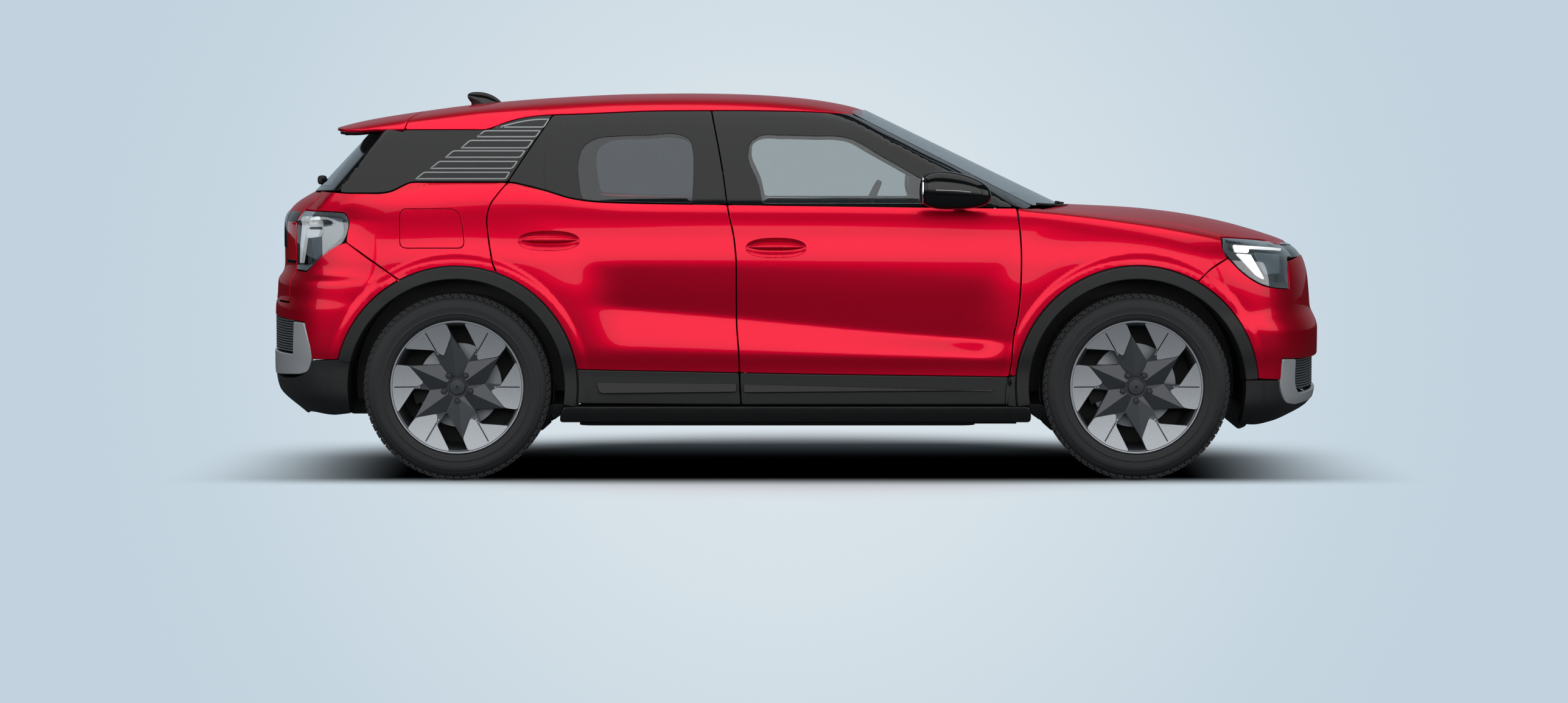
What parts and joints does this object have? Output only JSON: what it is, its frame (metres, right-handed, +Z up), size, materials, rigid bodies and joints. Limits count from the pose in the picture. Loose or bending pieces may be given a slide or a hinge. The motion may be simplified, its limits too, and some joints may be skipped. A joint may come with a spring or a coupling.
{
  "type": "electric crossover",
  "caption": "Five-door electric crossover with opening doors, bonnet, tailgate and charge flap, coupled front steering and freely turning wheels.",
  "frame": {"origin": "on the ground under the middle of the car, half way between the axles", "axes": "+X towards the nose, +Z up, -Y to the car's right"},
  "size_m": [4.4692, 2.056, 1.5899],
  "materials": {
    "body_paint": "gloss metallic red under clear coat",
    "dark_trim": "grained matte",
    "gloss_black": "gloss",
    "window_glass": "tinted clear",
    "clear_lens": "clear",
    "red_lens": "gloss",
    "painted_steel": "satin",
    "cast_aluminium": "as cast",
    "cabin_plastic": "soft matte",
    "seat_cloth": "woven",
    "tyre_rubber": "matte",
    "rim_alloy": "machined and painted"
  },
  "bodies": {
    "car_body": {"front_wings": "body_paint", "roof_panel": "body_paint", "left_body_side": "body_paint", "right_body_side": "body_paint", "front_bumper": "body_paint", "rear_bumper": "body_paint", "front_lower_trim": "dark_trim", "rear_lower_trim": "dark_trim", "wheel_arch_trims": "dark_trim", "sill_trims": "dark_trim", "cowl_panel": "dark_trim", "wheelhouse_liners": "dark_trim", "bay_cover": "dark_trim", "roof_antenna": "gloss_black", "windscreen": "window_glass", "quarter_glasses": "window_glass", "headlamps": "clear_lens", "tail_lamps": "red_lens", "floor_pan": "painted_steel", "sill_and_pillar_beams": "painted_steel", "front_subframe": "painted_steel", "rear_axle": "painted_steel", "crash_beams": "painted_steel", "drive_unit": "cast_aluminium", "battery_pack": "cast_aluminium", "dashboard": "cabin_plastic", "front_seats": "seat_cloth", "rear_seat": "seat_cloth"},
    "bonnet": {"bonnet": "body_paint"},
    "tailgate": {"tailgate": "body_paint", "tailgate_glass": "window_glass"},
    "charge_flap": {"charge_flap": "body_paint"},
    "steering_wheel": {"steering_wheel": "cabin_plastic"},
    "front_left_door": {"front_left_door": "body_paint", "front_left_window": "window_glass", "left_mirror": "gloss_black"},
    "rear_left_door": {"rear_left_door": "body_paint", "rear_left_window": "window_glass"},
    "front_left_steer": {"front_left_knuckle": "cast_aluminium"},
    "front_left_wheel": {"front_left_tyre": "tyre_rubber", "front_left_rim": "rim_alloy"},
    "rear_left_wheel": {"rear_left_tyre": "tyre_rubber", "rear_left_rim": "rim_alloy"},
    "front_right_door": {"front_right_door": "body_paint", "front_right_window": "window_glass", "right_mirror": "gloss_black"},
    "rear_right_door": {"rear_right_door": "body_paint", "rear_right_window": "window_glass"},
    "front_right_steer": {"front_right_knuckle": "cast_aluminium"},
    "front_right_wheel": {"front_right_tyre": "tyre_rubber", "front_right_rim": "rim_alloy"},
    "rear_right_wheel": {"rear_right_tyre": "tyre_rubber", "rear_right_rim": "rim_alloy"}
  },
  "joints": [
    {"name": "front_left_door_hinge", "type": "hinge", "parent": "car_body", "child": "front_left_door", "pos_m": [0.914, 0.927, 0.7], "axis": [0, 0, -1], "range_deg": [0, 65]},
    {"name": "rear_left_door_hinge", "type": "hinge", "parent": "car_body", "child": "rear_left_door", "pos_m": [-0.22, 0.927, 0.7], "axis": [0, 0, -1], "range_deg": [0, 68]},
    {"name": "front_right_door_hinge", "type": "hinge", "parent": "car_body", "child": "front_right_door", "pos_m": [0.914, -0.927, 0.7], "axis": [0, 0, 1], "range_deg": [0, 65]},
    {"name": "rear_right_door_hinge", "type": "hinge", "parent": "car_body", "child": "rear_right_door", "pos_m": [-0.22, -0.927, 0.7], "axis": [0, 0, 1], "range_deg": [0, 68]},
    {"name": "bonnet_hinge", "type": "hinge", "parent": "car_body", "child": "bonnet", "pos_m": [0.983, 0, 1.113], "axis": [0, -1, 0], "range_deg": [0, 50]},
    {"name": "tailgate_hinge", "type": "hinge", "parent": "car_body", "child": "tailgate", "pos_m": [-1.541, 0, 1.514], "axis": [0, 1, 0], "range_deg": [0, 75]},
    {"name": "charge_flap_hinge", "type": "hinge", "parent": "car_body", "child": "charge_flap", "pos_m": [-1.348, -0.928, 1.03], "axis": [0, 0, 1], "range_deg": [0, 100]},
    {"name": "steering", "type": "hinge", "parent": "car_body", "child": "front_right_steer", "pos_m": [1.3835, -0.735, 0.382], "axis": [0, 0, 1], "range_deg": [-35, 35]},
    {"name": "front_left_steering", "type": "hinge", "parent": "car_body", "child": "front_left_steer", "pos_m": [1.3835, 0.735, 0.382], "axis": [0, 0, 1], "range_deg": [-35, 35]},
    {"name": "steering_wheel_turn", "type": "hinge", "parent": "car_body", "child": "steering_wheel", "pos_m": [0.292, 0.37, 1.042], "axis": [-0.9063, 0, 0.4226], "range_deg": [-490, 490]},
    {"name": "front_left_wheel_spin", "type": "hinge", "parent": "front_left_steer", "child": "front_left_wheel", "pos_m": [1.3835, 0.805, 0.382], "axis": [0, 1, 0], "continuous": true},
    {"name": "rear_left_wheel_spin", "type": "hinge", "parent": "car_body", "child": "rear_left_wheel", "pos_m": [-1.3835, 0.805, 0.382], "axis": [0, 1, 0], "continuous": true},
    {"name": "front_right_wheel_spin", "type": "hinge", "parent": "front_right_steer", "child": "front_right_wheel", "pos_m": [1.3835, -0.805, 0.382], "axis": [0, 1, 0], "continuous": true},
    {"name": "rear_right_wheel_spin", "type": "hinge", "parent": "car_body", "child": "rear_right_wheel", "pos_m": [-1.3835, -0.805, 0.382], "axis": [0, 1, 0], "continuous": true}
  ],
  "couplings": [
    {"joint": "front_left_steering", "follows": "steering", "ratio": 1},
    {"joint": "steering_wheel_turn", "follows": "steering", "ratio": 14}
  ]
}
